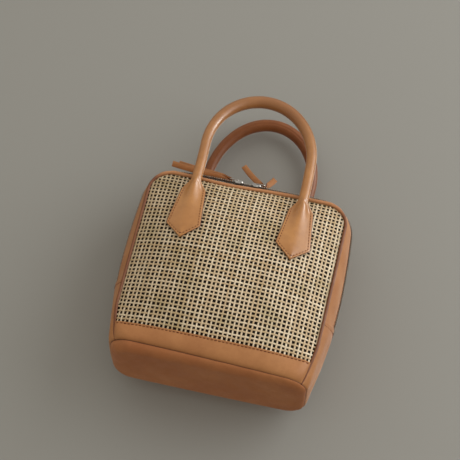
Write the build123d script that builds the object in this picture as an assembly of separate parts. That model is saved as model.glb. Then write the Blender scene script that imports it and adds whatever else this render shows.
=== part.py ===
"""Basket box bag: cane webbing panels on a leather frame, two rolled handles, a two-way zip.

Frame: +Z up from the base to the handles, the front panel faces -Y, +X is to the right of
somebody who looks at the front. The origin is the centre of the base's underside.
Units are millimetres.
"""
from build123d import *
import math
import os

# ---------------------------------------------------------------- driving dimensions
PANEL_BASE_WIDTH = 196.0      # front panel between its piping centre lines, at the base
PANEL_WAIST_WIDTH = 200.0     # the same at waist height
PANEL_TOP_WIDTH = 204.0       # the same where the top corners start
WAIST_HEIGHT = 60.0
PANEL_HEIGHT = 204.0          # underside of the base to the top piping's centre line
TOP_CORNER_RADIUS = 24.0
BASE_DEPTH = 84.0             # between the two panels' piping at the base
TOP_DEPTH = 53.0              # the same at the top
PANEL_BULGE = 22.0            # how far a stuffed panel swells out of its piping's plane
GUSSET_RISE = 10.0            # how far the zip ridge stands outside the panels' sides
TOP_RISE = 15.0               # how far it stands over their tops
RIDGE_CORNER_RADIUS = 32.0
WAIST_RADIUS = 200.0          # softens the outline's turn at waist height
BASE_CORNER_RADIUS = 10.0

CANE_THICKNESS = 1.8
LINING_THICKNESS = 0.7
LEATHER_THICKNESS = 1.6
TAPE_THICKNESS = 0.6
BAND_HEIGHT = 25.5            # leather band along the bottom of each cane panel
PIPING_RADIUS = 2.0
PLY_GAP = 0.1                 # between plies that lie on each other
SOFT_GAP = 0.3                # between soft pieces that sit beside each other

BOARD_THICKNESS = 2.0         # stiffener over the base leather
BOARD_INSET = 5.0

SIDE_PANEL_HEIGHT = 80.0      # lower side panels, laid over the zip's two ends
SIDE_OVERLAP = 8.0
LEATHER_EDGE = 5.6            # half width of the slot in the gusset where the teeth show
TEETH_HALF_WIDTH = 2.8
TEETH_GAP = 0.6               # half of the gap that a slider's web runs in
TEETH_HEIGHT = 2.2
TAPE_HALF_WIDTH = 14.0
STOP_HEIGHT = 3.0

HANDLE_SPACING = 110.0        # between the centre lines of one handle's legs
HANDLE_RISE = 104.0           # panel top to the centre line's highest point
HANDLE_STRAIGHT = 37.5        # straight leg above the panel top
ARCH_STEPS = 16               # sections along the arch
LEG_RADIUS = 5.2
APEX_RADIUS = 6.4
HANDLE_LEAN = 18.0            # how far the arch leans in over the bag
TAB_WIDTH = 35.0
TAB_TOP_WIDTH = 24.0
TAB_LENGTH = 64.0             # top of the tab's sewn part to its point
TAB_SHOULDER = 15.5           # point to the widest line
TAB_TOP_DROP = 18.0           # panel top down to the top of the sewn part
TAB_THICKNESS = 3.4
BACKING_THICKNESS = 1.2
BACKING_INSET = 2.0

SLIDER_LENGTH = 11.0
SLIDER_WIDTH = 8.4
SLIDER_PLATE = 1.6
SLIDER_LIFT = 0.4             # plate over the teeth
SLIDER_LEFT_X = -17.0         # slider centres at rest
SLIDER_RIGHT_X = 2.0
WEB_THICKNESS = 0.6
WEB_LENGTH = 5.0
LOWER_PLATE_DROP = 5.4
LOWER_PLATE = 1.2
FLANGE = 0.6
FLANGE_DROP = 1.2
BRIDGE_LENGTH = 7.0
BRIDGE_WIDTH = 2.4
BRIDGE_WINDOW = (4.4, 1.7)
BRIDGE_ROOF = 0.9
PULL_WIRE_RADIUS = 0.65
PULL_LENGTH = 9.0             # between the centre lines of the pull's two bars
PULL_HALF_WIDTH = 3.7
THONG_WIDTH = 5.0
THONG_PLY = 1.5
THONG_CLEARANCE = 0.25
LEFT_THONG_TAILS = (62.0, 55.0)
RIGHT_THONG_TAILS = ((-27.7, 15.0, 27.2), (7.4, 15.0, 18.7))

# ---------------------------------------------------------------- derived places
LEAN = math.atan2(BASE_DEPTH - TOP_DEPTH, 2 * PANEL_HEIGHT)
WELT_RADIUS = PIPING_RADIUS
WELT_CENTRE = WELT_RADIUS + 0.2
SEAM = WELT_CENTRE + WELT_RADIUS + PLY_GAP       # everything above the welt starts here
RIDGE_TOP = PANEL_HEIGHT + TOP_RISE
RIM_GAP = PIPING_RADIUS + PLY_GAP                # from the piping's centre to its neighbours
GUSSET_LINING_DEPTH = LEATHER_THICKNESS + TAPE_THICKNESS + 2 * PLY_GAP
LINING_INSET = GUSSET_LINING_DEPTH + LINING_THICKNESS + SOFT_GAP
WIDE = 2 * (PANEL_TOP_WIDTH + GUSSET_RISE)       # larger than the bag, for cutting blocks


def piping_plane_y(z):
    """Distance of the piping's plane from the bag's middle plane at height z."""
    return BASE_DEPTH / 2 - z * math.tan(LEAN)


def half_width(z):
    """Half of the panel's width at height z."""
    if z < WAIST_HEIGHT:
        share = z / WAIST_HEIGHT
        return (PANEL_BASE_WIDTH + share * (PANEL_WAIST_WIDTH - PANEL_BASE_WIDTH)) / 2
    share = (z - WAIST_HEIGHT) / (PANEL_HEIGHT - WAIST_HEIGHT)
    return (PANEL_WAIST_WIDTH + share * (PANEL_TOP_WIDTH - PANEL_WAIST_WIDTH)) / 2


def swell(x, z):
    """How far a panel stands out of its piping's plane, zero along the outline."""
    across = min(abs(x) / half_width(z), 1.0)
    up = min(max(z / PANEL_HEIGHT, 0.0), 1.0)
    return PANEL_BULGE * (1 - across**3) * (1 - up**5) * (1 - (1 - up) ** 4)


def panel_y(x, z):
    """Outer face of the front cane panel."""
    return -(piping_plane_y(z) + swell(x, z))


# ---------------------------------------------------------------- shared shapes
def outline(grow=0.0, rise=0.0, top_rise=0.0, corner=TOP_CORNER_RADIUS):
    """Panel outline as a sketch in x and height, grown all round, and by rise at the sides and top_rise on top."""
    base = PANEL_BASE_WIDTH / 2 + grow + min(rise, 1.0)
    waist = PANEL_WAIST_WIDTH / 2 + grow + rise
    top = PANEL_TOP_WIDTH / 2 + grow + rise
    ceiling = PANEL_HEIGHT + grow + top_rise
    points = [(base, 0), (waist, WAIST_HEIGHT), (top, ceiling)]
    mirrored = [(-x, z) for x, z in reversed(points)]
    face = make_face(Polyline(*points, *mirrored, close=True))
    corners = face.vertices().group_by(Axis.Y)[-1]
    face = fillet(corners, max(corner + grow, 1.0))
    waists = [v for v in face.vertices() if abs(v.Y - WAIST_HEIGHT) < 0.01]
    return fillet(waists, WAIST_RADIUS)


def lean_plane(back_off=0.0):
    """Plane of the front piping, moved back_off towards the bag's middle."""
    return Plane(
        origin=(0, -BASE_DEPTH / 2 + back_off, 0),
        x_dir=(1, 0, 0),
        z_dir=(0, -math.cos(LEAN), math.sin(LEAN)),
    )


def block(x_range, y_range, z_range):
    """Box between three pairs of limits."""
    size = [high - low for low, high in (x_range, y_range, z_range)]
    middle = [(high + low) / 2 for low, high in (x_range, y_range, z_range)]
    return Pos(*middle) * Box(*size)


def mirror_back(shape):
    """The back panel's twin of a front piece."""
    return mirror(shape, about=Plane.XZ)


def swollen_sheet(out_face, thickness, sketch):
    """Sheet that follows the swollen panel: out_face outside it, thick along Y, cut to sketch."""
    columns, rows = 17, 15
    reach = half_width(PANEL_HEIGHT) + 2
    points = []
    for i in range(columns):
        x = reach * (2 * i / (columns - 1) - 1)
        column = []
        for j in range(rows):
            z = PANEL_HEIGHT * j / (rows - 1)
            column.append((x, panel_y(x, z) - out_face, z))
        points.append(column)
    vectors = [[Vector(*point) for point in column] for column in points]
    face = Face.make_surface_from_array_of_points(vectors)
    slab = extrude(face, amount=thickness, dir=(0, 1, 0))
    cutter = extrude(lean_plane() * sketch, amount=BASE_DEPTH, both=True)
    return slab & cutter


def gusset_body(inset):
    """Solid of the front half of the bag, inset from the gusset's outer face."""
    front = lean_plane(RIM_GAP) * outline(grow=-inset)
    ridge = Plane.XZ * outline(-inset, GUSSET_RISE, TOP_RISE, RIDGE_CORNER_RADIUS - GUSSET_RISE)
    return loft([front.face(), ridge.face()], ruled=True)


def gusset_ply(outer, thickness):
    """U-shaped ply of the gusset's front half, open at the base."""
    ply = gusset_body(outer) - gusset_body(outer + thickness)
    return ply - block((-WIDE, WIDE), (-WIDE, WIDE), (-WIDE, SEAM))


def between_y(shape, near, far):
    """Part of a front half that lies between two distances from the middle plane."""
    return shape & block((-WIDE, WIDE), (-far, -near), (-WIDE, WIDE))


# ---------------------------------------------------------------- panels
def panel_sketch(inset, low, high=PANEL_HEIGHT):
    """Outline of a panel ply, inset from the piping's centre line."""
    whole = outline(grow=-inset)
    window = Pos(0, (low + high) / 2) * Rectangle(WIDE, high - low)
    return whole & window


def cane_panel():
    return swollen_sheet(0.0, CANE_THICKNESS, panel_sketch(RIM_GAP, SEAM))


def panel_lining():
    sketch = panel_sketch(LINING_INSET, SEAM)
    return swollen_sheet(-(CANE_THICKNESS + PLY_GAP), LINING_THICKNESS, sketch)


def base_band():
    """Leather strip over the foot of the cane."""
    out = LEATHER_THICKNESS + PLY_GAP
    return swollen_sheet(out, LEATHER_THICKNESS, panel_sketch(RIM_GAP, SEAM, BAND_HEIGHT))


def panel_piping():
    """Round piping up one side, over the top and down the other."""
    plane = lean_plane()
    edge = outline()
    kept = [e for e in edge.edges() if e.center().Y > 1]
    path = plane * Wire(kept)
    start = Plane(origin=path.position_at(0), z_dir=path.tangent_at(0))
    tube = sweep(start * Circle(PIPING_RADIUS), path)
    return tube - block((-WIDE, WIDE), (-WIDE, WIDE), (-WIDE, SEAM))


# ---------------------------------------------------------------- base
def base_sketch(inset=0.0):
    radius = max(BASE_CORNER_RADIUS - inset, 2.0)
    return RectangleRounded(PANEL_BASE_WIDTH - 2 * inset, BASE_DEPTH - 2 * inset, radius)


def base_panel():
    """Base leather, its edge turned down inside the welt."""
    return extrude(base_sketch(RIM_GAP), amount=LEATHER_THICKNESS)


def base_board():
    lift = LEATHER_THICKNESS + PLY_GAP
    return Pos(0, 0, lift) * extrude(base_sketch(BOARD_INSET), amount=BOARD_THICKNESS)


def base_welt():
    path = Pos(0, 0, WELT_CENTRE) * base_sketch().wire()
    start = Plane(origin=path.position_at(0), z_dir=path.tangent_at(0))
    return sweep(start * Circle(WELT_RADIUS), path)


# ---------------------------------------------------------------- gusset
def gusset_strip():
    """Leather beside the zip, over the bag's top and down to the side panels."""
    ply = gusset_ply(0.0, LEATHER_THICKNESS)
    strip = between_y(ply, LEATHER_EDGE, BASE_DEPTH)
    start = SIDE_PANEL_HEIGHT - SIDE_OVERLAP
    return strip - block((-WIDE, WIDE), (-WIDE, WIDE), (-WIDE, start))


def side_panels():
    """Lower side panels, laid over the ends of the gusset strips."""
    half = gusset_ply(-(LEATHER_THICKNESS + PLY_GAP), LEATHER_THICKNESS)
    half = half & block((-WIDE, WIDE), (-WIDE, WIDE), (SEAM, SIDE_PANEL_HEIGHT))
    whole = half + mirror_back(half)
    left = whole & block((-WIDE, 0), (-WIDE, WIDE), (0, WIDE))
    right = whole & block((0, WIDE), (-WIDE, WIDE), (0, WIDE))
    return left, right


def zip_tape():
    ply = gusset_ply(LEATHER_THICKNESS + PLY_GAP, TAPE_THICKNESS)
    tape = between_y(ply, TEETH_HALF_WIDTH + PLY_GAP, TAPE_HALF_WIDTH)
    start = SIDE_PANEL_HEIGHT - 2 * SIDE_OVERLAP
    return tape - block((-WIDE, WIDE), (-WIDE, WIDE), (-WIDE, start))


def zip_teeth():
    ply = gusset_ply(SLIDER_LIFT, TEETH_HEIGHT)
    row = between_y(ply, TEETH_GAP, TEETH_HALF_WIDTH)
    start = SIDE_PANEL_HEIGHT - SIDE_OVERLAP + STOP_HEIGHT + PLY_GAP
    return row - block((-WIDE, WIDE), (-WIDE, WIDE), (-WIDE, start))


def zip_stops():
    """Bottom stop at each end of the teeth, across both rows."""
    half = between_y(gusset_ply(SLIDER_LIFT, TEETH_HEIGHT), 0, TEETH_HALF_WIDTH)
    start = SIDE_PANEL_HEIGHT - SIDE_OVERLAP
    half = half & block((-WIDE, WIDE), (-WIDE, WIDE), (start, start + STOP_HEIGHT))
    whole = half + mirror_back(half)
    left = whole & block((-WIDE, 0), (-WIDE, WIDE), (0, WIDE))
    right = whole & block((0, WIDE), (-WIDE, WIDE), (0, WIDE))
    return left, right


def gusset_lining():
    """One U-shaped lining under both strips, slit along the zip."""
    ply = gusset_ply(GUSSET_LINING_DEPTH, LINING_THICKNESS)
    beside_zip = between_y(ply, TEETH_HALF_WIDTH + TEETH_HEIGHT, BASE_DEPTH)
    foot = ply & block((-WIDE, WIDE), (-WIDE, WIDE), (0, SIDE_PANEL_HEIGHT - 2 * SIDE_OVERLAP))
    half = beside_zip + foot
    return half + mirror_back(half)


# ---------------------------------------------------------------- handles
def tab_sketch(side, inset=0.0):
    """Pentagon of a handle tab in x and height: narrow top, wide shoulders, point down."""
    x = side * HANDLE_SPACING / 2
    top = PANEL_HEIGHT - TAB_TOP_DROP - inset
    point = PANEL_HEIGHT - TAB_TOP_DROP - TAB_LENGTH + inset
    shoulder = PANEL_HEIGHT - TAB_TOP_DROP - TAB_LENGTH + TAB_SHOULDER
    wide = TAB_WIDTH / 2 - inset
    narrow = TAB_TOP_WIDTH / 2 - inset
    corners = [(narrow, top), (wide, shoulder), (0, point), (-wide, shoulder), (-narrow, top)]
    return Pos(x, 0) * make_face(Polyline(*corners, close=True))


def leg_foot_y(side):
    """Centre of a leg where it meets its tab, clear of the panel."""
    x = side * HANDLE_SPACING / 2
    deepest = min(panel_y(x, PANEL_HEIGHT - drop) for drop in (0, TAB_TOP_DROP))
    return deepest - LEG_RADIUS - PLY_GAP - PIPING_RADIUS / 2


def handle_front():
    """One rolled handle with the two tabs that its leather flattens into."""
    foot_y = leg_foot_y(1)
    foot_z = PANEL_HEIGHT - TAB_TOP_DROP
    apex_z = PANEL_HEIGHT + HANDLE_RISE
    bend_z = PANEL_HEIGHT + HANDLE_STRAIGHT
    half = HANDLE_SPACING / 2
    lean = math.atan2(HANDLE_LEAN, apex_z - foot_z)
    frame = Plane(
        origin=(0, foot_y, foot_z),
        x_dir=(1, 0, 0),
        z_dir=(0, -math.cos(lean), math.sin(lean)),
    )
    scale = 1 / math.cos(lean)
    bend = (bend_z - foot_z) * scale
    crown = (apex_z - bend_z) * scale
    legs = []
    for side in (-1, 1):
        leg = Line((side * half, 0), (side * half, bend))
        section = Plane(origin=frame.from_local_coords((side * half, 0, 0)), z_dir=frame.y_dir)
        legs.append(sweep(section * Circle(LEG_RADIUS), frame * leg))
    sections = []
    for i in range(ARCH_STEPS + 1):
        angle = math.pi * i / ARCH_STEPS
        x = half * math.cos(angle)
        y = bend + crown * math.sin(angle)
        tangent = Vector(-half * math.sin(angle), crown * math.cos(angle), 0)
        radius = LEG_RADIUS + (APEX_RADIUS - LEG_RADIUS) * math.sin(angle)
        centre = frame.from_local_coords(Vector(x, y, 0))
        heading = frame.from_local_coords(Vector(x, y, 0) + tangent) - centre
        sections.append(Plane(origin=centre, x_dir=frame.z_dir, z_dir=heading) * Circle(radius))
    arch = loft(sections)
    tabs = []
    for side in (-1, 1):
        tabs.append(swollen_sheet(TAB_THICKNESS + PLY_GAP, TAB_THICKNESS, tab_sketch(side)))
    roots = []
    for side in (-1, 1):
        roots.append(tab_root(side, foot_y, foot_z))
    return arch + legs[0] + legs[1] + tabs[0] + tabs[1] + roots[0] + roots[1]


def tab_root(side, foot_y, foot_z):
    """Leather between a leg's foot and its tab: the roll opening out."""
    x = side * HANDLE_SPACING / 2
    low_z = foot_z - TAB_TOP_DROP
    low_y = panel_y(x, low_z) - TAB_THICKNESS - PLY_GAP - SOFT_GAP
    upper = Plane(origin=(x, foot_y, foot_z), z_dir=(0, 0, 1)) * Circle(LEG_RADIUS)
    lower = Plane(origin=(x, low_y, low_z), z_dir=(0, 0, 1)) * Ellipse(TAB_TOP_WIDTH / 2, TAB_THICKNESS / 2)
    return loft([lower, upper])


def handle_backing(side):
    """Reinforcement inside the lining behind a tab."""
    depth = CANE_THICKNESS + LINING_THICKNESS + 2 * PLY_GAP
    return swollen_sheet(-depth, BACKING_THICKNESS, tab_sketch(side, BACKING_INSET))


# ---------------------------------------------------------------- zip sliders
PLATE_TOP = RIDGE_TOP + SLIDER_PLATE
PIVOT_Z = PLATE_TOP + BRIDGE_WINDOW[1] / 2


def slider_body(x):
    """Slider on the closed teeth, at x along the top."""
    plate = block(
        (x - SLIDER_LENGTH / 2, x + SLIDER_LENGTH / 2),
        (-SLIDER_WIDTH / 2, SLIDER_WIDTH / 2),
        (RIDGE_TOP, PLATE_TOP),
    )
    plate = fillet(plate.edges().filter_by(Axis.Z), SLIDER_WIDTH / 4)
    flanges = []
    for side in (-1, 1):
        inner = side * (SLIDER_WIDTH / 2 - FLANGE)
        outer = side * SLIDER_WIDTH / 2
        flanges.append(block(
            (x - SLIDER_LENGTH / 4, x + SLIDER_LENGTH / 4),
            (min(inner, outer), max(inner, outer)),
            (RIDGE_TOP - FLANGE_DROP, RIDGE_TOP),
        ))
    web = block(
        (x - WEB_LENGTH / 2, x + WEB_LENGTH / 2),
        (-WEB_THICKNESS / 2, WEB_THICKNESS / 2),
        (RIDGE_TOP - LOWER_PLATE_DROP, RIDGE_TOP),
    )
    lower = block(
        (x - SLIDER_LENGTH / 2 + 1, x + SLIDER_LENGTH / 2 - 1),
        (-SLIDER_WIDTH / 2, SLIDER_WIDTH / 2),
        (RIDGE_TOP - LOWER_PLATE_DROP - LOWER_PLATE, RIDGE_TOP - LOWER_PLATE_DROP),
    )
    lower = fillet(lower.edges().filter_by(Axis.Z), SLIDER_WIDTH / 4)
    bridge = block(
        (x - BRIDGE_LENGTH / 2, x + BRIDGE_LENGTH / 2),
        (-BRIDGE_WIDTH / 2, BRIDGE_WIDTH / 2),
        (PLATE_TOP, PLATE_TOP + BRIDGE_WINDOW[1] + BRIDGE_ROOF),
    )
    bridge = fillet(bridge.edges().filter_by(Axis.Y).group_by(Axis.Z)[-1], BRIDGE_ROOF)
    window = block(
        (x - BRIDGE_WINDOW[0] / 2, x + BRIDGE_WINDOW[0] / 2),
        (-BRIDGE_WIDTH, BRIDGE_WIDTH),
        (PLATE_TOP, PLATE_TOP + BRIDGE_WINDOW[1]),
    )
    return plate + flanges[0] + flanges[1] + web + lower + (bridge - window)


def pull_bail(x, direction):
    """Wire bail from the slider's bridge, lying flat towards direction."""
    sketch = RectangleRounded(PULL_LENGTH, 2 * PULL_HALF_WIDTH, 1.2)
    path = Pos(x + direction * PULL_LENGTH / 2, 0, PIVOT_Z) * sketch.wire()
    start = Plane(origin=path.position_at(0), z_dir=path.tangent_at(0))
    return sweep(start * Circle(PULL_WIRE_RADIUS), path)


def thong_eye(x):
    """Sleeve of thong leather round the bail's outer bar."""
    outer = PULL_WIRE_RADIUS + THONG_CLEARANCE + THONG_PLY
    return Pos(x, 0, PIVOT_Z) * Rot(90, 0, 0) * Cylinder(outer, THONG_WIDTH)


def bar_clearance(x):
    """Room for the bail's outer bar."""
    inner = PULL_WIRE_RADIUS + THONG_CLEARANCE
    return Pos(x, 0, PIVOT_Z) * Rot(90, 0, 0) * Cylinder(inner, 2 * THONG_WIDTH)


def left_thong():
    """Long strap folded over the bail, both tails lying left along the bag's top."""
    x = SLIDER_LEFT_X - PULL_LENGTH
    offset = PULL_WIRE_RADIUS + THONG_CLEARANCE + THONG_PLY / 2
    body = thong_eye(x)
    for level, length in zip((1, -1), LEFT_THONG_TAILS):
        z = PIVOT_Z + level * offset
        body += Pos(x - length / 2, 0, z) * Box(length, THONG_WIDTH, THONG_PLY)
    return body - bar_clearance(x)


def right_thong():
    """Strap folded over the bail, its two tails spread in a V."""
    x = SLIDER_RIGHT_X + PULL_LENGTH
    body = thong_eye(x)
    for vector in RIGHT_THONG_TAILS:
        along = Vector(*vector)
        across = Vector(0, 1, 0) - along.normalized() * along.normalized().Y
        plane = Plane(origin=(x, 0, PIVOT_Z), x_dir=across, z_dir=along)
        body += extrude(plane * Rectangle(THONG_WIDTH, THONG_PLY), amount=along.length)
    return body - bar_clearance(x)


# ---------------------------------------------------------------- the bag
def build():
    nodes = {}
    doubles = {
        "cane_panel": cane_panel(),
        "panel_lining": panel_lining(),
        "base_band": base_band(),
        "panel_piping": panel_piping(),
        "gusset_strip": gusset_strip(),
        "zip_tape": zip_tape(),
        "zip_teeth": zip_teeth(),
        "handle": handle_front(),
    }
    for name, shape in doubles.items():
        nodes["front_" + name] = shape
        nodes["back_" + name] = mirror_back(shape)
    for side, label in ((-1, "left"), (1, "right")):
        backing = handle_backing(side)
        nodes["front_backing_" + label] = backing
        nodes["back_backing_" + label] = mirror_back(backing)
    nodes["base_panel"] = base_panel()
    nodes["base_board"] = base_board()
    nodes["base_welt"] = base_welt()
    nodes["side_panel_left"], nodes["side_panel_right"] = side_panels()
    nodes["zip_stop_left"], nodes["zip_stop_right"] = zip_stops()
    nodes["gusset_lining"] = gusset_lining()
    nodes["slider_left"] = slider_body(SLIDER_LEFT_X)
    nodes["slider_right"] = slider_body(SLIDER_RIGHT_X)
    nodes["pull_left"] = pull_bail(SLIDER_LEFT_X, -1)
    nodes["pull_right"] = pull_bail(SLIDER_RIGHT_X, 1)
    nodes["thong_left"] = left_thong()
    nodes["thong_right"] = right_thong()
    return nodes


os.makedirs("parts", exist_ok=True)
for name, shape in build().items():
    export_step(shape, os.path.join("parts", name + ".step"))
    print(name, round(shape.volume, 1))
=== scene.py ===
"""Looks of the basket box bag: woven cane, tan leather, stitching, metal zip.

Lengths in this script are millimetres and are turned into metres where a mesh is made.
The bag stands on its base; the camera looks at its front from in front and below, as at a
bag that lies on its back.
"""
import math

import bpy
import numpy as np
from mathutils import Matrix, Vector


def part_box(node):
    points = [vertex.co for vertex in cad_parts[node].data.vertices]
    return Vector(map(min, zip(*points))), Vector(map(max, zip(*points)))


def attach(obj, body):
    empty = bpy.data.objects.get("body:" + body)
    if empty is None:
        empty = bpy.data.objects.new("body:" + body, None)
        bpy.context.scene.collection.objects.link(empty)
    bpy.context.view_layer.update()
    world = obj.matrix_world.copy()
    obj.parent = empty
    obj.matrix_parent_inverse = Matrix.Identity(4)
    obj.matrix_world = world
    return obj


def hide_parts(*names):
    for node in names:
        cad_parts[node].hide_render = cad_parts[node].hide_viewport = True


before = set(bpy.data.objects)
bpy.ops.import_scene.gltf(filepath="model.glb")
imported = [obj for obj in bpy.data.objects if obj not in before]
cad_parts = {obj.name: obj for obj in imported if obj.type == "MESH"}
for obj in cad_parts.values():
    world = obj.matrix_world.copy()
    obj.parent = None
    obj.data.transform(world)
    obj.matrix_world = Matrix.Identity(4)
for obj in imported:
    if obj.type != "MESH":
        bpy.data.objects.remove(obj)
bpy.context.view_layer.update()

MM = 0.001


def box_mm(node):
    """Lowest and highest corner of a CAD node in millimetres."""
    low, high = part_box(node)
    return np.array(low) / MM, np.array(high) / MM


# -------- sizes, from the frame
PIPING_R = 2.0
PIPING_SIDE_R = 1.55
PIPING_THICKENS = (188.0, 200.0)
piping_high = box_mm("front_panel_piping")[1]
welt_high = box_mm("base_welt")[1]
teeth_high = box_mm("front_zip_teeth")[1]
handle_low, handle_high = box_mm("front_handle")

PANEL_TOP = piping_high[2] - PIPING_R
BASE_HALF_W = welt_high[0] - PIPING_R
TOP_HALF_W = piping_high[0] - PIPING_R
WAIST_HALF_W = 100.0
WAIST_Z = 60.0
BASE_HALF_D = welt_high[1] - PIPING_R
TOP_HALF_D = -piping_high[1] + PIPING_R
CORNER_R = 24.0
BULGE = 22.0
SEAM_Z = 6.8
SEAM_TILT = 0.024
SEAM_LAP = 0.15
RIDGE_TOP = teeth_high[2] + 0.4
RIDGE_HALF_W = teeth_high[0] + 0.6
RIDGE_CORNER_R = 40.0
TOP_SAG = 2.3
BASE_CORNER_R = 22.0
CORNER_FADE_Z = 40.0
FOOT_TUCK = 1.0
TEETH_PITCH = 2.4
TEETH_LIFT = 0.7
ZIP_EDGE = 4.0
BAND_TOP = box_mm("front_base_band")[1][2]
SIDE_TOP_Z = 80.0
SIDE_SLOPE = 7.0

TAB_HALF_W = 17.5
HANDLE_HALF = (handle_high[0] - handle_low[0] - 2 * TAB_HALF_W) / 2
TAB_TOP_HALF_W = 12.2
TAB_TIP_Z = handle_low[2]
TAB_SHOULDER = 15.5
TAB_TOP_Z = TAB_TIP_Z + 64.0
LEG_R = 5.2
APEX_R = 6.4
APEX_Z = handle_high[2] - APEX_R
BEND_Z = PANEL_TOP + 37.5
HANDLE_LEAN = 18.0
HANDLE_SKEW = {-1: -3.6, 1: 4.7}
RIM_T = 2.2


# -------- numeric helpers
def waves(seed, *coords, period=30.0, count=6):
    """Smooth wandering value of about unit size, from sines at random directions."""
    random = np.random.RandomState(seed)
    total = 0.0
    for _ in range(count):
        phase = random.uniform(0, 2 * math.pi)
        for c in coords:
            phase = phase + np.asarray(c) * random.uniform(-1, 1) * 2 * math.pi / period * 1.7
        total = total + np.sin(phase)
    return total / math.sqrt(count / 2)


def smoothstep(t):
    t = np.clip(t, 0.0, 1.0)
    return t * t * (3 - 2 * t)


def unit(v):
    return v / np.maximum(np.linalg.norm(v, axis=-1, keepdims=True), 1e-12)


def columns(pairs):
    """The two columns of a list of pairs, each as one row."""
    return np.array(pairs, float).T[:, None, :]


def smooth_path(points, count):
    """Catmull-Rom curve through a few points, evenly sampled by length."""
    p = np.array(points, float)
    p = np.vstack([2 * p[0] - p[1], p, 2 * p[-1] - p[-2]])
    dense = []
    for i in range(1, len(p) - 2):
        t = np.linspace(0, 1, 40, endpoint=False)[:, None]
        a, b, c, d = p[i - 1], p[i], p[i + 1], p[i + 2]
        dense.append(0.5 * (2 * b + (c - a) * t + (2 * a - 5 * b + 4 * c - d) * t**2
                            + (3 * b - a - 3 * c + d) * t**3))
    dense = np.vstack(dense + [p[-2:-1]])
    return resample(dense, count)


def lengths(line):
    """Length of the way from a line's start to each of its points."""
    return np.concatenate([[0], np.cumsum(np.linalg.norm(np.diff(line, axis=0), axis=1))])


def resample(line, count):
    length = lengths(line)
    wanted = np.linspace(0, length[-1], count)
    return np.stack([np.interp(wanted, length, line[:, k]) for k in range(line.shape[1])], -1)


# -------- the bag's surfaces
def half_depth(z):
    """Distance of the piping's plane from the middle plane."""
    return BASE_HALF_D + (TOP_HALF_D - BASE_HALF_D) * np.asarray(z, float) / PANEL_TOP


def half_width(z):
    """Half width of a panel between its pipings."""
    z = np.asarray(z, float)
    low = BASE_HALF_W + (WAIST_HALF_W - BASE_HALF_W) * z / WAIST_Z
    high = WAIST_HALF_W + (TOP_HALF_W - WAIST_HALF_W) * (z - WAIST_Z) / (PANEL_TOP - WAIST_Z)
    soft = 0.6
    return -soft * np.log(np.exp(-low / soft) + np.exp(-high / soft))


def seam_z(x):
    """Height of the seam between the base leather and the walls; it runs down a little to the right."""
    return SEAM_Z - SEAM_TILT * np.asarray(x, float)


def ridge_half_width(z):
    """Half width of the bag at the zip's ridge: fullest at half height."""
    z = np.asarray(z, float)
    belly = 118.0
    rise = RIDGE_HALF_W - BASE_HALF_W
    foot = np.clip(1 - (z - SEAM_Z) / (belly - SEAM_Z), 0, 1) ** 2.2
    top = np.clip((z - belly) / (PANEL_TOP - belly), 0, 1) ** 2
    return BASE_HALF_W + rise * (1 - foot) - 5.0 * top


def corner_radius(z):
    """Radius of the bag's upright corners in plan: round at the base, sharp from the piping up."""
    return BASE_CORNER_R * np.clip(1 - (np.asarray(z, float) - SEAM_Z) / CORNER_FADE_Z, 0, 1) ** 1.4


def corner_pinch(z):
    """How far the panel's bottom corners draw in to meet the rounded base."""
    return corner_radius(z) * (1 - math.sqrt(0.5))


def corner_cut(from_edge, z):
    """How much a rounded corner takes off at a distance from the other wall's line."""
    radius = corner_radius(z)
    into = np.clip(radius - from_edge, 0, radius * 0.98)
    return radius - np.sqrt(radius**2 - into**2)


def swell(x, z):
    """How far a panel stands out of its piping's plane."""
    x, z = np.broadcast_arrays(np.asarray(x, float), np.asarray(z, float))
    across = np.clip(np.abs(x) / half_width(z), 0, 1)
    up = np.clip(z / PANEL_TOP, 0, 1)
    out = BULGE * (1 - across**3) * (1 - up**5) * (1 - (1 - up) ** 4)
    return out - corner_cut(half_width(z) - np.abs(x), z)


def panel_point(side, x, z, out=0.0):
    """Point on a panel's outer face, moved out along its normal. side -1 is the front."""
    x, z, out = np.broadcast_arrays(*(np.asarray(v, float) for v in (x, z, out)))
    step = 0.5
    y = half_depth(z) + swell(x, z)
    slope_x = (swell(x + step, z) - swell(x - step, z)) / (2 * step)
    slope_z = (half_depth(z + step) + swell(x, z + step)
               - half_depth(z - step) - swell(x, z - step)) / (2 * step)
    normal = unit(np.stack([-slope_x, np.ones_like(x), -slope_z], -1))
    point = np.stack([x, y, z], -1) + normal * out[..., None]
    point[..., 1] *= side
    return point


def panel_normal(side, x, z):
    return unit(panel_point(side, x, z, 1.0) - panel_point(side, x, z, 0.0))


def top_sag(s):
    """How far the top piping hangs below its line, deepest left of the middle."""
    return TOP_SAG * np.exp(-((np.asarray(s, float) + 0.28) / 0.42) ** 2)


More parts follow.
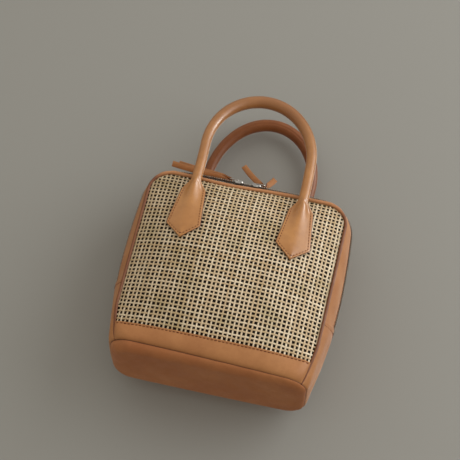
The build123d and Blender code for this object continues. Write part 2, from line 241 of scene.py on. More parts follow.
def rim_xz(s, ridge):
    """Outline as a function of s: -3 left base, 0 top centre, 3 right base.

    ridge blends from the panel's outline (0) to the zip's ridge (1).
    """
    s = np.asarray(s, float)
    p = 3 - np.abs(s)
    outlines = []
    shapes = ((half_width, PANEL_TOP, CORNER_R), (ridge_half_width, RIDGE_TOP, RIDGE_CORNER_R))
    for half, ceiling, corner in shapes:
        corner_z = ceiling - corner
        side_z = SEAM_Z + np.clip(p, -0.1, 1) * (corner_z - SEAM_Z)
        corner_x = half(corner_z) - corner
        angle = np.clip(p - 1, 0, 1) * math.pi / 2
        x = np.where(p < 1, half(side_z), corner_x + corner * np.cos(angle))
        z = np.where(p < 1, side_z, corner_z + corner * np.sin(angle))
        along = np.clip(3 - p, 0, 1)
        x = np.where(p > 2, corner_x * along, x)
        z = np.where(p > 2, ceiling, z)
        outlines.append((x, z))
    (rim_x, rim_z), (ridge_x, ridge_z) = outlines
    rim_x = rim_x - corner_pinch(rim_z)
    rim_z = rim_z - top_sag(s)
    x = rim_x + (ridge_x - rim_x) * ridge
    return x * np.sign(s), rim_z + (ridge_z - rim_z) * ridge


def rim_depth(s):
    """Distance of the piping from the middle plane at s."""
    z = rim_xz(s, 0.0)[1]
    return half_depth(z) - corner_pinch(z)


def gusset_raw(s, y):
    """Gusset at outline place s: round at the sides, a straight-sided roof over the top."""
    depth = rim_depth(s)
    inward = np.clip(1 - np.abs(y) / depth, 0, 1)
    roof = smoothstep(2.0 - np.abs(s)) + 0 * inward
    ridge = (1 - roof) * np.sin(inward * math.pi / 2) ** 0.95 + roof * inward**1.15
    x, z = rim_xz(s, ridge)
    pinch = corner_pinch(z)
    cut = corner_cut(half_depth(z) - np.abs(y), z)
    x = x + np.sign(x) * (pinch * (1 - ridge) - cut)
    return np.stack([x, y * np.ones_like(x), z], -1)


def gusset_point(s, y, out=0.0):
    """Point of the gusset at outline place s and depth y, moved out along its normal."""
    s, y, out = np.broadcast_arrays(*(np.asarray(v, float) for v in (s, y, out)))
    ds, dy = 0.01, 0.4
    along = gusset_raw(s + ds, y) - gusset_raw(s - ds, y)
    across = gusset_raw(s, y + dy) - gusset_raw(s, y - dy)
    normal = unit(np.cross(along, across))
    return gusset_raw(s, y) + normal * out[..., None]


def gusset_normal(s, y):
    return unit(gusset_point(s, y, 1.0) - gusset_point(s, y, 0.0))


S_TABLE = np.linspace(-3, 3, 6001)
RIDGE_TABLE = np.stack(rim_xz(S_TABLE, 1.0), -1)
RIDGE_LENGTH = lengths(RIDGE_TABLE)
RIM_LENGTH = lengths(np.stack(rim_xz(S_TABLE, 0.0), -1))


def s_at_ridge_height(z):
    """Outline place on the left whose ridge is at height z, as a negative s."""
    left = S_TABLE < -1
    return float(np.interp(z, RIDGE_TABLE[left, 1], S_TABLE[left]))


def s_steps(start, end, step, table=None):
    """Outline places between start and end, evenly spaced along the ridge."""
    length = RIDGE_LENGTH if table is None else table
    a, b = np.interp([start, end], S_TABLE, length)
    wanted = np.linspace(a, b, max(int(round((b - a) / step)), 2) + 1)
    return np.interp(wanted, length, S_TABLE)


# -------- mesh helpers
SHARP_FROM = math.radians(52)


def new_object(name, data):
    obj = bpy.data.objects.new(name, data)
    bpy.context.scene.collection.objects.link(obj)
    return obj


def add_mesh(name, verts, faces, materials, body="root", replaces=(), slot=None,
             face_materials=None, uv=None, attributes=None):
    """Mesh piece from millimetre vertices. Faces are index tuples."""
    verts = np.asarray(verts, float)
    mesh = bpy.data.meshes.new(name)
    mesh.from_pydata((verts * MM).tolist(), [], [tuple(map(int, f)) for f in faces])
    for material in materials:
        mesh.materials.append(material)
    if face_materials is not None:
        mesh.polygons.foreach_set("material_index", np.asarray(face_materials, np.int32))
    if uv is not None:
        layer = mesh.uv_layers.new(name="strand")
        loops = np.empty(len(mesh.loops), np.int32)
        mesh.loops.foreach_get("vertex_index", loops)
        layer.data.foreach_set("uv", np.asarray(uv, np.float32)[loops].ravel())
    for key, values in (attributes or {}).items():
        mesh.attributes.new(key, "FLOAT", "POINT").data.foreach_set("value", np.asarray(values, np.float32))
    mesh.validate()
    mesh.shade_smooth()
    mesh.set_sharp_from_angle(angle=SHARP_FROM)
    obj = new_object(name, mesh)
    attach(obj, body)
    if replaces:
        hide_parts(*replaces)
    return obj


def ring_faces(rings, points, start=0):
    """Faces of a loft through closed rings of points each, with a cap on both ends."""
    i = np.arange(rings - 1)[:, None] * points
    j = np.arange(points)[None, :]
    nxt = (j + 1) % points
    quads = np.stack([i + j, i + nxt, i + points + nxt, i + points + j], -1).reshape(-1, 4) + start
    last = start + (rings - 1) * points
    caps = [tuple(range(start + points - 1, start - 1, -1)), tuple(range(last, last + points))]
    return list(map(tuple, quads)) + caps


def outward(verts, faces):
    """The same faces, turned so that the closed mesh has a positive volume."""
    v = np.asarray(verts, float)
    volume = 0.0
    for f in faces:
        a = v[f[0]]
        for k in range(1, len(f) - 1):
            volume += np.dot(a, np.cross(v[f[k]], v[f[k + 1]]))
    return faces if volume > 0 else [tuple(reversed(f)) for f in faces]


def loft(name, rings, materials, **options):
    """Closed solid skin through an array of rings (n, points, 3)."""
    n, points, _ = rings.shape
    verts = rings.reshape(-1, 3)
    faces = outward(verts, ring_faces(n, points))
    return add_mesh(name, verts, faces, materials, **options)


def tube_rings(path, radius, sides, normal_hint=(0, 1, 0)):
    """Rings of a round tube along path."""
    path = np.asarray(path, float)
    tangent = unit(np.gradient(path, axis=0))
    across = unit(np.cross(tangent, np.array(normal_hint, float)))
    third = np.cross(tangent, across)
    angle = np.linspace(0, 2 * math.pi, sides, endpoint=False)
    radius = np.broadcast_to(np.asarray(radius, float), (len(path),))[:, None, None]
    circle = across[:, None] * np.cos(angle)[None, :, None] + third[:, None] * np.sin(angle)[None, :, None]
    return path[:, None] + circle * radius


STITCH_SIDES = 6
STITCH_STATIONS = ((-1.0, 0.35), (-0.8, 0.85), (0.0, 1.0), (0.8, 0.85), (1.0, 0.35))


def stitches(name, centres, directions, normals, length, radius, **options):
    """Row of short rounded thread lengths, each arched out of the leather in its middle."""
    verts, faces = [], []
    angle = np.linspace(0, 2 * math.pi, STITCH_SIDES, endpoint=False)
    for c, d, n in zip(centres, unit(np.asarray(directions)), unit(np.asarray(normals))):
        circle = np.cos(angle)[:, None] * np.cross(d, n) + np.sin(angle)[:, None] * n
        faces.extend(ring_faces(len(STITCH_STATIONS), STITCH_SIDES, start=len(verts) * STITCH_SIDES))
        for along, thick in STITCH_STATIONS:
            middle = c + d * along * length / 2 + n * radius * (0.35 - 0.9 * along**2)
            verts.append(middle + radius * thick * circle)
    verts = np.concatenate(verts)
    return add_mesh(name, verts, outward(verts, faces), [thread], **options)


# -------- materials
class Nodes:
    """Builds the node tree of a material or of the world."""

    def __init__(self, owner):
        self.owner = owner
        owner.use_nodes = True
        self.tree = owner.node_tree
        self.tree.nodes.clear()
        self.coords = self.add("TexCoord", out="Object")

    def put(self, socket, value):
        if isinstance(value, bpy.types.NodeSocket):
            self.tree.links.new(value, socket)
        elif socket.type == "RGBA":
            socket.default_value = (*value, 1.0)
        else:
            socket.default_value = value

    def add(self, kind, *values, out=0, settings=None, **named):
        """New node with its inputs in order or by name, underscores for spaces; returns one output."""
        node = self.tree.nodes.new("ShaderNode" + kind)
        for key, value in (settings or {}).items():
            setattr(node, key, value)
        for socket, value in zip(node.inputs, values):
            self.put(socket, value)
        for key, value in named.items():
            self.put(node.inputs[key.replace("_", " ")], value)
        return node.outputs[out]

    def noise(self, scale, detail=4.0, roughness=0.55, vector=None, stretch=None):
        vector = vector or self.coords
        if stretch:
            vector = self.add("Mapping", Vector=vector, Scale=stretch)
        return self.add("TexNoise", out="Fac", Vector=vector, Scale=scale, Detail=detail, Roughness=roughness)

    def math(self, operation, a, b):
        return self.add("Math", a, b, settings={"operation": operation})

    def span(self, value, low, high, to_low=0.0, to_high=1.0):
        """Value carried from one range to another, held at the ends."""
        return self.add("MapRange", Value=value, From_Min=low, From_Max=high, To_Min=to_low, To_Max=to_high)

    def mix(self, factor, a, b):
        return self.add("Mix", out="Result", settings={"data_type": "RGBA"}, Factor=factor, A=a, B=b)

    def place(self, axis, coords=None):
        """One coordinate: by default the object's, in metres."""
        return self.add("SeparateXYZ", coords or self.coords, out=axis)

    def surface(self, color, roughness, bump, **constants):
        """Ends the material; bump is (height, strength, distance)."""
        height, strength, distance = bump
        normal = self.add("Bump", Height=height, Strength=strength, Distance=distance)
        shader = self.add("BsdfPrincipled", Base_Color=color, Roughness=roughness, Normal=normal, **constants)
        return self.close("Material", shader)

    def close(self, kind, shader):
        output = self.tree.nodes.new("ShaderNodeOutput" + kind)
        self.put(output.inputs[0], shader)
        return self.owner


def linear(r, g, b):
    """Linear colour from 0-255 display values."""
    display = (r / 255, g / 255, b / 255)
    return tuple(c / 12.92 if c <= 0.04045 else ((c + 0.055) / 1.055) ** 2.4 for c in display)


def leather_material(name, light, middle, dark, roughness=0.54, grain=1.0, specular=0.28, coat=0.0, top=None):
    """Smooth vegetable-tanned leather: cloudy colour, fine pores, soft sheen.

    top is (low height, high height, strength, colour) of a tint for what is high up, which paints light and
    shade by height: painted shade over the handle's arch, painted light along the top piping.
    """
    n = Nodes(bpy.data.materials.new(name))
    cloud = n.span(n.noise(22.0, 3.0), 0.35, 0.68)
    patch = n.span(n.noise(90.0, 5.0, 0.6), 0.3, 0.72)
    color = n.mix(cloud, middle, light)
    color = n.mix(n.math("MULTIPLY", patch, 0.38), color, dark)
    edges = n.add("TexVoronoi", out="Distance", settings={"feature": "DISTANCE_TO_EDGE"},
                  Vector=n.coords, Scale=1500.0)
    pores = n.span(edges, 0.0, 0.22)
    color = n.mix(n.span(pores, 0.0, 0.5, 0.22, 0.0), color, dark)
    # Painted light and shade: a tint that grows with height and stands for how the light falls on what is
    # high up.
    if top:
        low, high, strength, tint = top
        color = n.mix(n.span(n.place("Z"), low, high, 0.0, strength), color, tint)
    fibre = n.math("MULTIPLY", n.noise(2600.0, 3.0), 0.25 * grain)
    height = n.math("ADD", n.math("MULTIPLY", pores, 0.5 * grain), fibre)
    height = n.math("ADD", height, n.math("MULTIPLY", n.noise(160.0, 3.0), 0.9))
    rough = n.span(n.noise(60.0, 4.0), 0.3, 0.7, roughness - 0.07, roughness + 0.09)
    return n.surface(color, rough, (height, 0.35, 0.00018), Specular_IOR_Level=specular, Coat_Weight=coat,
                     Coat_Roughness=0.24)


CANE_LIGHT = linear(229, 213, 184)
CANE_DARK = linear(194, 168, 128)
CANE_BROWN = linear(136, 98, 62)
CANE_GREEN = linear(160, 144, 96)
# Colour of the painted shade on the cane's left side.
CANE_PAINTED_SHADE = linear(138, 116, 76)


def cane_material():
    """Split cane: straw strands with long fibres, brown and greenish stretches, and painted shade that
    darkens the left, away from the light.
    """
    n = Nodes(bpy.data.materials.new("cane_strands"))
    strand = n.add("UVMap", settings={"uv_map": "strand"})
    tint = n.add("Attribute", out="Fac", settings={"attribute_name": "tint"})
    along = n.noise(1.0, 3.0, 0.6, vector=strand, stretch=(0.045, 0.6, 1.0))
    spots = n.noise(1.0, 4.0, 0.65, vector=strand, stretch=(0.30, 1.7, 1.0))
    fibre = n.noise(1.0, 4.0, 0.6, vector=strand, stretch=(0.12, 14.0, 1.0))
    shade = n.math("ADD", n.math("MULTIPLY", tint, 0.55), n.math("MULTIPLY", along, 0.75))
    color = n.mix(n.span(shade, 0.38, 0.92), CANE_DARK, CANE_LIGHT)
    color = n.mix(n.span(spots, 0.56, 0.78, 0.0, 0.75), color, CANE_BROWN)
    color = n.mix(n.span(n.noise(34.0, 3.0, 0.6), 0.50, 0.74, 0.0, 0.62), color, CANE_GREEN)
    # Painted shade: darker towards the left, away from the light at the right.
    color = n.mix(n.span(n.place("X"), -0.10, 0.0, 0.42, 0.0), color, CANE_PAINTED_SHADE)
    color = n.mix(n.span(fibre, 0.40, 0.72, 0.0, 0.35), color, CANE_BROWN)
    rough = n.span(fibre, 0.3, 0.7, 0.42, 0.6)
    return n.surface(color, rough, (fibre, 0.45, 0.00012), Specular_IOR_Level=0.45)


def cloth_material(name, color, dark, pitch):
    """Plain woven cloth from two crossed sets of fine waves."""
    n = Nodes(bpy.data.materials.new(name))
    waves_each_way = [n.add("TexWave", out="Fac", settings={"bands_direction": axis}, Vector=n.coords,
                            Scale=1.0 / (pitch * MM) / 3.2, Distortion=0.6) for axis in "XZ"]
    weave = n.math("MULTIPLY", *waves_each_way)
    base = n.mix(n.span(n.noise(60.0), 0.3, 0.7), color, dark)
    base = n.mix(n.math("MULTIPLY", weave, 0.35), base, dark)
    return n.surface(base, 0.85, (weave, 0.4, 0.0002), Specular_IOR_Level=0.2)


def metal_material(name, color, worn, roughness):
    """Plated zinc with a little wear and fine brushing."""
    n = Nodes(bpy.data.materials.new(name))
    base = n.mix(n.span(n.noise(420.0, 5.0, 0.7), 0.45, 0.75), color, worn)
    scratch = n.noise(900.0, 3.0, 0.6, stretch=(0.2, 1.0, 1.0))
    rough = n.span(scratch, 0.3, 0.7, roughness - 0.08, roughness + 0.1)
    return n.surface(base, rough, (scratch, 0.12, 0.00005), Metallic=1.0)


leather = leather_material(
    "tan_leather", linear(180, 126, 78), linear(168, 113, 68), linear(134, 81, 42))
# The handle's top tint is painted shade: the arch darkens towards its top, which faces away from the light.
handle_leather = leather_material(
    "handle_leather", linear(186, 130, 68), linear(170, 114, 56), linear(128, 76, 34), 0.38, 0.8, 0.42, 0.3,
    top=(0.215, 0.300, 0.6, linear(118, 70, 36)))
# Darker copy of the handle leather: painted shade for the back handle, which lies low and in the bag's shade.
back_handle_shaded_leather = leather_material(
    "back_handle_shaded_leather", linear(136, 80, 38), linear(122, 68, 30), linear(94, 48, 20), 0.45, 0.8, 0.3)
base_leather = leather_material(
    "base_leather", linear(178, 118, 72), linear(164, 102, 60), linear(130, 76, 42), 0.6)
# Piping: a darker leather than the panels, its darkness partly painted shade of the side seams; the top tint
# is painted light along the top piping, where light falls from above.
piping_leather = leather_material(
    "piping_leather", linear(130, 80, 48), linear(114, 67, 40), linear(80, 44, 26), 0.5,
    top=(0.192, 0.202, 0.85, linear(188, 132, 88)))
edge_paint = leather_material(
    "edge_paint", linear(118, 72, 46), linear(98, 58, 38), linear(70, 40, 26), 0.55, 0.4)
backing_leather = leather_material(
    "split_leather", linear(150, 112, 80), linear(128, 92, 64), linear(98, 68, 46), 0.85, 2.0)
thread = cloth_material("thread", linear(122, 66, 38), linear(84, 42, 24), 0.5)
cane = cane_material()
lining_cloth = cloth_material("lining_cloth", linear(40, 27, 18), linear(22, 14, 9), 0.45)
tape_cloth = cloth_material("zip_tape", linear(120, 78, 50), linear(86, 54, 34), 0.6)
board_card = cloth_material("base_board", linear(120, 104, 84), linear(88, 74, 58), 0.9)
zip_metal = metal_material("zip_metal", linear(150, 144, 136), linear(190, 182, 168), 0.36)
slider_metal = metal_material("slider_metal", linear(150, 148, 146), linear(205, 200, 190), 0.28)


def coat_node(node, material):
    """Gives a carried-over CAD node its material."""
    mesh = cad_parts[node].data
    mesh.materials.clear()
    mesh.materials.append(material)


# -------- woven cane
WEAVE_PITCH = 4.4
STRAND_WIDTH = 1.66
STRAND_THICK = 0.55
STRAND_STRAY = 0.10
STRAND_SPREAD = (0.93, 1.07)
STRAND_HUE_STEP = 7.3
UPRIGHT_HUE_STEP = 100
CANE_FOOT = 6.0
WEAVE_LIFT = 0.33
CANE_OUT = -0.95
SAMPLES = 4


def strand_section(width):
    """Cross-section of a split strand: flat below, gently crowned above."""
    w, t = width / 2, STRAND_THICK / 2
    return np.array([(-w * 0.94, -t), (w * 0.94, -t), (w, 0.1 * t), (w * 0.5, 0.85 * t),
                     (-w * 0.5, 0.85 * t), (-w, 0.1 * t)])


def arc_places(height_of, low, high, pitch):
    """Places between low and high at equal distances along a curved line."""
    t = np.linspace(low, high, 2001)
    length = lengths(np.stack([t, height_of(t)], -1))
    middle = length[-1] / 2
    count = int(middle / pitch)
    wanted = middle + np.arange(-count, count + 1) * pitch
    index = (length - middle) / pitch + count
    return np.interp(wanted, length, t), t, index


def woven_panel(name, side, node, seed):
    """Upright and level strands over one panel, each cut off at the piping."""
    random = np.random.RandomState(seed)
    edge = PIPING_R * 0.45
    low_z, high_z = SEAM_Z + CANE_FOOT, PANEL_TOP - edge
    reach_x = TOP_HALF_W - edge
    xs, *x_run = arc_places(lambda x: swell(x, 80.0), -reach_x, reach_x, WEAVE_PITCH)
    zs, *z_run = arc_places(lambda z: swell(0.0, z), low_z, high_z, WEAVE_PITCH)
    corner_z = PANEL_TOP - CORNER_R
    corner_x = half_width(corner_z) - CORNER_R
    heights = np.linspace(low_z, PANEL_TOP, 400)
    limits = half_width(heights) - edge - corner_pinch(heights)

    def in_corner(past):
        """How far the panel reaches into its round corner, at a distance past the corner's centre."""
        return math.sqrt(max((CORNER_R - edge) ** 2 - past**2, 0.0))

    def upright_ends(x):
        if abs(x) > corner_x:
            top = corner_z + in_corner(abs(x) - corner_x)
        else:
            top = high_z - float(top_sag(x / corner_x))
        inside = heights[limits >= abs(x)]
        return (inside[0], top) if len(inside) > 1 else (top, top)

    def level_ends(z):
        if z > corner_z:
            high = corner_x + in_corner(z - corner_z)
        else:
            high = float(np.interp(z, heights, limits))
        return -high, high

    verts, faces, uvs, tints = [], [], [], []

    def strand(number, vertical, place, width):
        low, high = upright_ends(place) if vertical else level_ends(place)
        if high - low < WEAVE_PITCH:
            return
        table, index = z_run if vertical else x_run
        first, last = np.interp([low, high], table, index)
        steps = np.arange(math.ceil(first * SAMPLES), math.floor(last * SAMPLES) + 1) / SAMPLES
        steps = np.concatenate([[first], steps[(steps > first + 0.05) & (steps < last - 0.05)], [last]])
        along = np.interp(steps, index, table)
        over_first = 1 if vertical == (number % 2 == 0) else -1
        lift = over_first * WEAVE_LIFT * np.cos(math.pi * steps)
        wander = 0.13 * waves(seed * 997 + number * 2 + vertical, along, period=45.0, count=3)
        section = strand_section(width)
        swelling = (1 + 0.05 * np.sin(along * 0.31 + number))[:, None]
        offset = place + wander[:, None] + section[:, 0] * swelling
        along_grid = along[:, None] + 0 * offset
        x, z = (offset, along_grid) if vertical else (along_grid, offset)
        points = panel_point(side, x, z, CANE_OUT + lift[:, None] + section[:, 1]).reshape(-1, 3)
        faces.extend(ring_faces(len(along), len(section), start=sum(map(len, verts))))
        verts.append(points)
        across = np.linspace(0, 1, len(section)) + number * STRAND_HUE_STEP + UPRIGHT_HUE_STEP * vertical
        uvs.append(np.stack([along_grid, across + 0 * along_grid], -1).reshape(-1, 2))
        tints.append(np.full(len(points), random.uniform(0, 1)))

    for vertical, places in ((True, xs), (False, zs)):
        for number, place in enumerate(places):
            place = place + random.normal(0, STRAND_STRAY)
            strand(number, vertical, place, STRAND_WIDTH * random.uniform(*STRAND_SPREAD))
    verts = np.concatenate(verts)
    add_mesh(name, verts, outward(verts, faces), [cane], replaces=(node,), slot="cane",
             uv=np.concatenate(uvs), attributes={"tint": np.concatenate(tints)})


# -------- leather band and base
BAND_ROW = 0.905
BAND_STITCH = 3.7


def base_band(name, side, node, seed):
    """Strip over the foot of the cane: stitched top edge, puffed middle, creased corner."""
    half = float(half_width(BAND_TOP))
    across = np.linspace(-1, 1, 241)[:, None]
    v, out = columns([
        (0.0, -3.2), (0.0, -1.9), (0.015, -0.9), (0.04, 0.1), (0.09, 1.0), (0.17, 1.7), (0.30, 2.1),
        (0.45, 2.1), (0.58, 1.95), (0.70, 1.7), (0.79, 1.45), (0.85, 1.25), (0.885, 1.08), (BAND_ROW, 1.02),
        (0.925, 1.10), (0.955, 1.32), (0.98, 1.34), (0.995, 1.15), (1.0, 0.8), (0.995, 0.3), (0.96, 0.0),
        (0.5, -0.6), (0.05, -3.2)])
    foot = seam_z(across * half) - SEAM_LAP
    z = foot + (BAND_TOP - foot) * v
    reach = half_width(z) - 0.4 - corner_pinch(z)
    x = across * reach
    body = np.sin(math.pi * np.clip(v, 0, 1)) * (out > 0.8)
    near_left = np.exp(-((x + half * 0.88) / 18) ** 2) + 0.3 * np.exp(-((x - half * 0.9) / 14) ** 2)
    crease = np.sin(z * 1.35 + 0.03 * x + 1.3 * waves(seed + 1, x, period=60)) ** 3
    soft = 0.25 * waves(seed, x, z, period=34.0)
    end = np.clip((1 - np.abs(across)) * half / 2.5, 0, 1)
    out = np.minimum(out, 0.2) + np.maximum(out - 0.2, 0) * (0.35 + 0.65 * smoothstep(end))
    out = out + body * (0.5 * crease * near_left + soft) * end
    rings = panel_point(side, x, z, out)
    loft(name, rings, [leather], replaces=(node,), slot="leather")
    row_z = SEAM_Z + (BAND_TOP - SEAM_Z) * BAND_ROW
    reach = float(half_width(row_z)) - 3.0
    count = int(2 * reach / BAND_STITCH)
    sx = (np.arange(count) - (count - 1) / 2) * BAND_STITCH
    sz = np.full(count, row_z)
    centres = panel_point(side, sx, sz, 1.15)
    directions = panel_point(side, sx + 0.5, sz + 0.03) - panel_point(side, sx - 0.5, sz - 0.03)
    stitches(name + "_stitches", centres, directions, panel_normal(side, sx, sz), 2.7, 0.42, slot="leather")


OUTLINE_STEPS = 40
FOOT_ROUND = 10.5
WELT_R = 0.42


def rounded_rectangle(half_x, half_y, radius):
    """Closed outline with the same number of points in every arc and side, so that copies line up."""
    arcs = []
    for quarter, (right, back) in enumerate(((1, 1), (-1, 1), (-1, -1), (1, -1))):
        angle = math.pi / 2 * (quarter + np.linspace(0, 1, OUTLINE_STEPS))
        centre = np.array([right * (half_x - radius), back * (half_y - radius)])
        arcs.append(centre + radius * np.stack([np.cos(angle), np.sin(angle)], -1))
    t = np.linspace(0, 1, OUTLINE_STEPS + 2)[1:-1, None]
    points = []
    for arc, following in zip(arcs, arcs[1:] + arcs[:1]):
        points.extend([arc, arc[-1] + (following[0] - arc[-1]) * t])
    return np.vstack(points)


def foot_outline(inset):
    """Plan outline of the base, drawn in from the foot of the walls by inset."""
    radius = max(BASE_CORNER_R - inset, 1.5)
    line = rounded_rectangle(BASE_HALF_W - inset, BASE_HALF_D - inset, radius)
    across = np.clip(np.abs(line[:, 0]) / BASE_HALF_W, 0, 1)
    belly = BULGE * (1 - across**3) * (1 - (1 - seam_z(line[:, 0]) / PANEL_TOP) ** 4)
    line[:, 1] += belly * line[:, 1] / BASE_HALF_D
    return line


def base_pan():
    """Base leather: flat where it stands, turned up in a soft round to the seam."""
    rings = [(8.0, 0.92, 0.0), (FOOT_TUCK + 1.6, 0.98, 0.0)]
    for angle in np.linspace(0, math.pi / 2, 15):
        inset = FOOT_TUCK + FOOT_ROUND * (1 - math.cos(angle))
        rings.append((inset, 1 - math.sin(angle), math.sin(2 * angle)))
    rings.extend((inset, 0.0, 0.0) for inset in (13.0, 20.0, 30.0, 38.0))
    loops = []
    for inset, share, soft in rings:
        line = foot_outline(inset)
        x, y = line.T
        run = waves(5, x, y, period=34.0) + 0.6 * waves(6, x, y, period=13.0)
        line = line + unit(line) * (0.30 * soft * run)[:, None]
        height = share * (seam_z(line[:, 0]) + 0.3) + 0.12 * soft * (1 + np.clip(run, -1, 1))
        loops.append(np.column_stack([line, height]))
    loft("base_leather", np.array(loops), [base_leather], replaces=("base_panel",), slot="base_leather")
    line = foot_outline(FOOT_TUCK + 0.1)
    path = np.column_stack([line, seam_z(line[:, 0]) + 0.2])
    rings = tube_rings(np.vstack([path[-1:], path, path[:1]]), WELT_R, 8, (0, 0, 1))[1:-1]
    verts = rings.reshape(-1, 3)
    faces = [tuple(f % len(verts) for f in face) for face in ring_faces(len(rings) + 1, 8)[:-2]]
    add_mesh("base_welt_cord", verts, outward(verts, faces), [edge_paint], replaces=("base_welt",),
             slot="piping_leather")


def base_stiffener():
    """Board on the inside of the base."""
    loops = []
    for inset, z in ((12.4, 6.6), (12.0, 6.9), (12.0, 7.9), (12.4, 8.2)):
        line = foot_outline(inset)
        loops.append(np.column_stack([line, z - SEAM_TILT * line[:, 0]]))
    loft("base_stiffener", np.array(loops), [board_card], replaces=("base_board",), slot="board")


# -------- lining
CLOTH_THICK = 0.5
CLOTH_EDGE = 2.6


def panel_lining(name, side, node):
    """Dark cloth behind the cane, cut to the panel's outline."""
    corner_z = PANEL_TOP - CORNER_R
    corner_x = float(half_width(corner_z)) - CORNER_R
    inner_r = CORNER_R - 1.0
    turning = corner_z + inner_r * np.sin(np.linspace(0, 1, 20) * 1.45)
    z = np.concatenate([np.linspace(SEAM_Z + 1.5, corner_z, 60), turning])
    straight = half_width(z) - 1.0 - corner_pinch(z)
    turn = corner_x + np.sqrt(np.clip(inner_r**2 - (z - corner_z) ** 2, 0, None))
    reach = np.where(z > corner_z, turn, straight)[:, None]
    t = np.linspace(-1, 1, 61)
    x = np.concatenate([t, t[::-1]])[None, :] * reach
    out = np.repeat([-2.3, -2.3 - CLOTH_THICK], 61)[None, :]
    z = z[:, None]
    hang = top_sag(x / corner_x) * smoothstep((z - 150) / 50)
    foot = (seam_z(x) - SEAM_Z) * np.clip(1 - (z - SEAM_Z) / 30, 0, 1)
    points = panel_point(side, x, z - hang + foot, out)
    loft(name, points, [lining_cloth], replaces=(node,), slot="lining")


def gusset_cloth():
    """Dark cloth inside the gusset, in two strips that leave the zip free."""
    s = s_steps(-2.98, 2.98, 3.0)
    width = rim_depth(s)[:, None] - 0.9 - CLOTH_EDGE
    shares = np.concatenate([np.linspace(0, 1, 9), np.linspace(1, 0, 9)])[None, :]
    out = np.repeat([-2.6, -2.6 - CLOTH_THICK], 9)[None, :]
    verts, faces = [], []
    for side in (-1, 1):
        y = side * (CLOTH_EDGE + width * shares)
        strip = gusset_point(s[:, None] + 0 * y, y, out).reshape(-1, 3)
        start = len(strip) * len(verts)
        faces.extend(tuple(i + start for i in f) for f in outward(strip, ring_faces(len(s), 18)))
        verts.append(strip)
    add_mesh("gusset_cloth", np.concatenate(verts), faces, [lining_cloth], replaces=("gusset_lining",),
             slot="lining")


# -------- piping
def piping(name, side, node, seed):
    """Leather roll round a panel: thin down the sides, full along the top."""
    s = s_steps(-3.0, 3.0, 1.6, RIM_LENGTH)
    x, z = rim_xz(s, 0.0)
    foot = np.clip(1 - (z - SEAM_Z) / 10, 0, 1)
    z = z + (seam_z(x) - SEAM_Z) * foot
    y = side * (half_depth(z) - corner_pinch(z) + 0.35 * (1 - foot))
    length = np.interp(s, S_TABLE, RIM_LENGTH)
    low, high = PIPING_THICKENS
    thick = PIPING_SIDE_R + (PIPING_R - PIPING_SIDE_R) * smoothstep((z - low) / (high - low))
    uneven = 1 + 0.035 * waves(seed, length, period=9.0, count=4)
    rings = tube_rings(np.stack([x, y, z], -1), thick * uneven * (1 - 0.5 * foot), 12)
    loft(name, rings, [piping_leather], replaces=(node,), slot="piping_leather")


# -------- gusset and zip
ZIP_END_S = s_at_ridge_height(SIDE_TOP_Z - 5)
STRIP_END_S = s_at_ridge_height(SIDE_TOP_Z - 26)
STITCH_INSET = 3.3
GUSSET_STITCH = 3.8


def gusset_strip(name, side, node, seed):
    """Leather beside the zip: turned edge at the teeth, a row of stitching, tucked under the piping."""
    s = s_steps(STRIP_END_S, -STRIP_END_S, 1.45)
    length = np.interp(s, S_TABLE, RIDGE_LENGTH)[:, None]
    share, far_out = columns([
        (1.0, -1.6), (1.0, -1.1), (0.985, -0.7), (0.955, -0.15), (0.91, 0.18), (0.84, 0.32), (0.72, 0.32),
        (0.6, 0.25), (0.48, 0.2), (0.36, 0.12)])
    inset, near_out = columns([
        (STITCH_INSET + 1.6, 0.05), (STITCH_INSET + 0.7, -0.10), (STITCH_INSET, -0.2),
        (STITCH_INSET - 0.7, -0.12), (1.9, 0.0), (1.0, 0.05), (0.35, -0.02), (0.0, -0.35), (0.1, -0.9),
        (0.8, -1.3)])
    width = rim_depth(s)[:, None] - 0.5 - ZIP_EDGE
    y = ZIP_EDGE + np.hstack([width * share, inset + 0 * width, width * 0.5])
    out = np.hstack([far_out, near_out, [[-1.3]]]) + 0 * y
    outer_face = out > -0.45
    pucker = 0.07 * np.cos(2 * math.pi * length / GUSSET_STITCH)
    pucker = pucker * np.exp(-((y - ZIP_EDGE - STITCH_INSET) / 1.2) ** 2)
    soft = 0.20 * waves(seed, length + 0 * y, y, period=42.0)
    out = out + outer_face * (pucker + soft * np.clip((y - ZIP_EDGE - 4) / 6, 0, 1))
    points = gusset_point(s[:, None] + 0 * y, side * y, out)
    loft(name, points, [leather], replaces=(node,), slot="leather")
    s_row = s_steps(ZIP_END_S + 0.02, -ZIP_END_S - 0.02, GUSSET_STITCH)
    y_row = np.full(len(s_row), side * (ZIP_EDGE + STITCH_INSET))
    centres = gusset_point(s_row, y_row, -0.1)
    ahead = gusset_point(s_row + 0.004, y_row + 0.05, -0.1)
    normals = gusset_normal(s_row, y_row)
    stitches(name + "_stitches", centres, ahead - centres, normals, 2.6, 0.33, slot="leather")


SIDE_ROW = 0.932


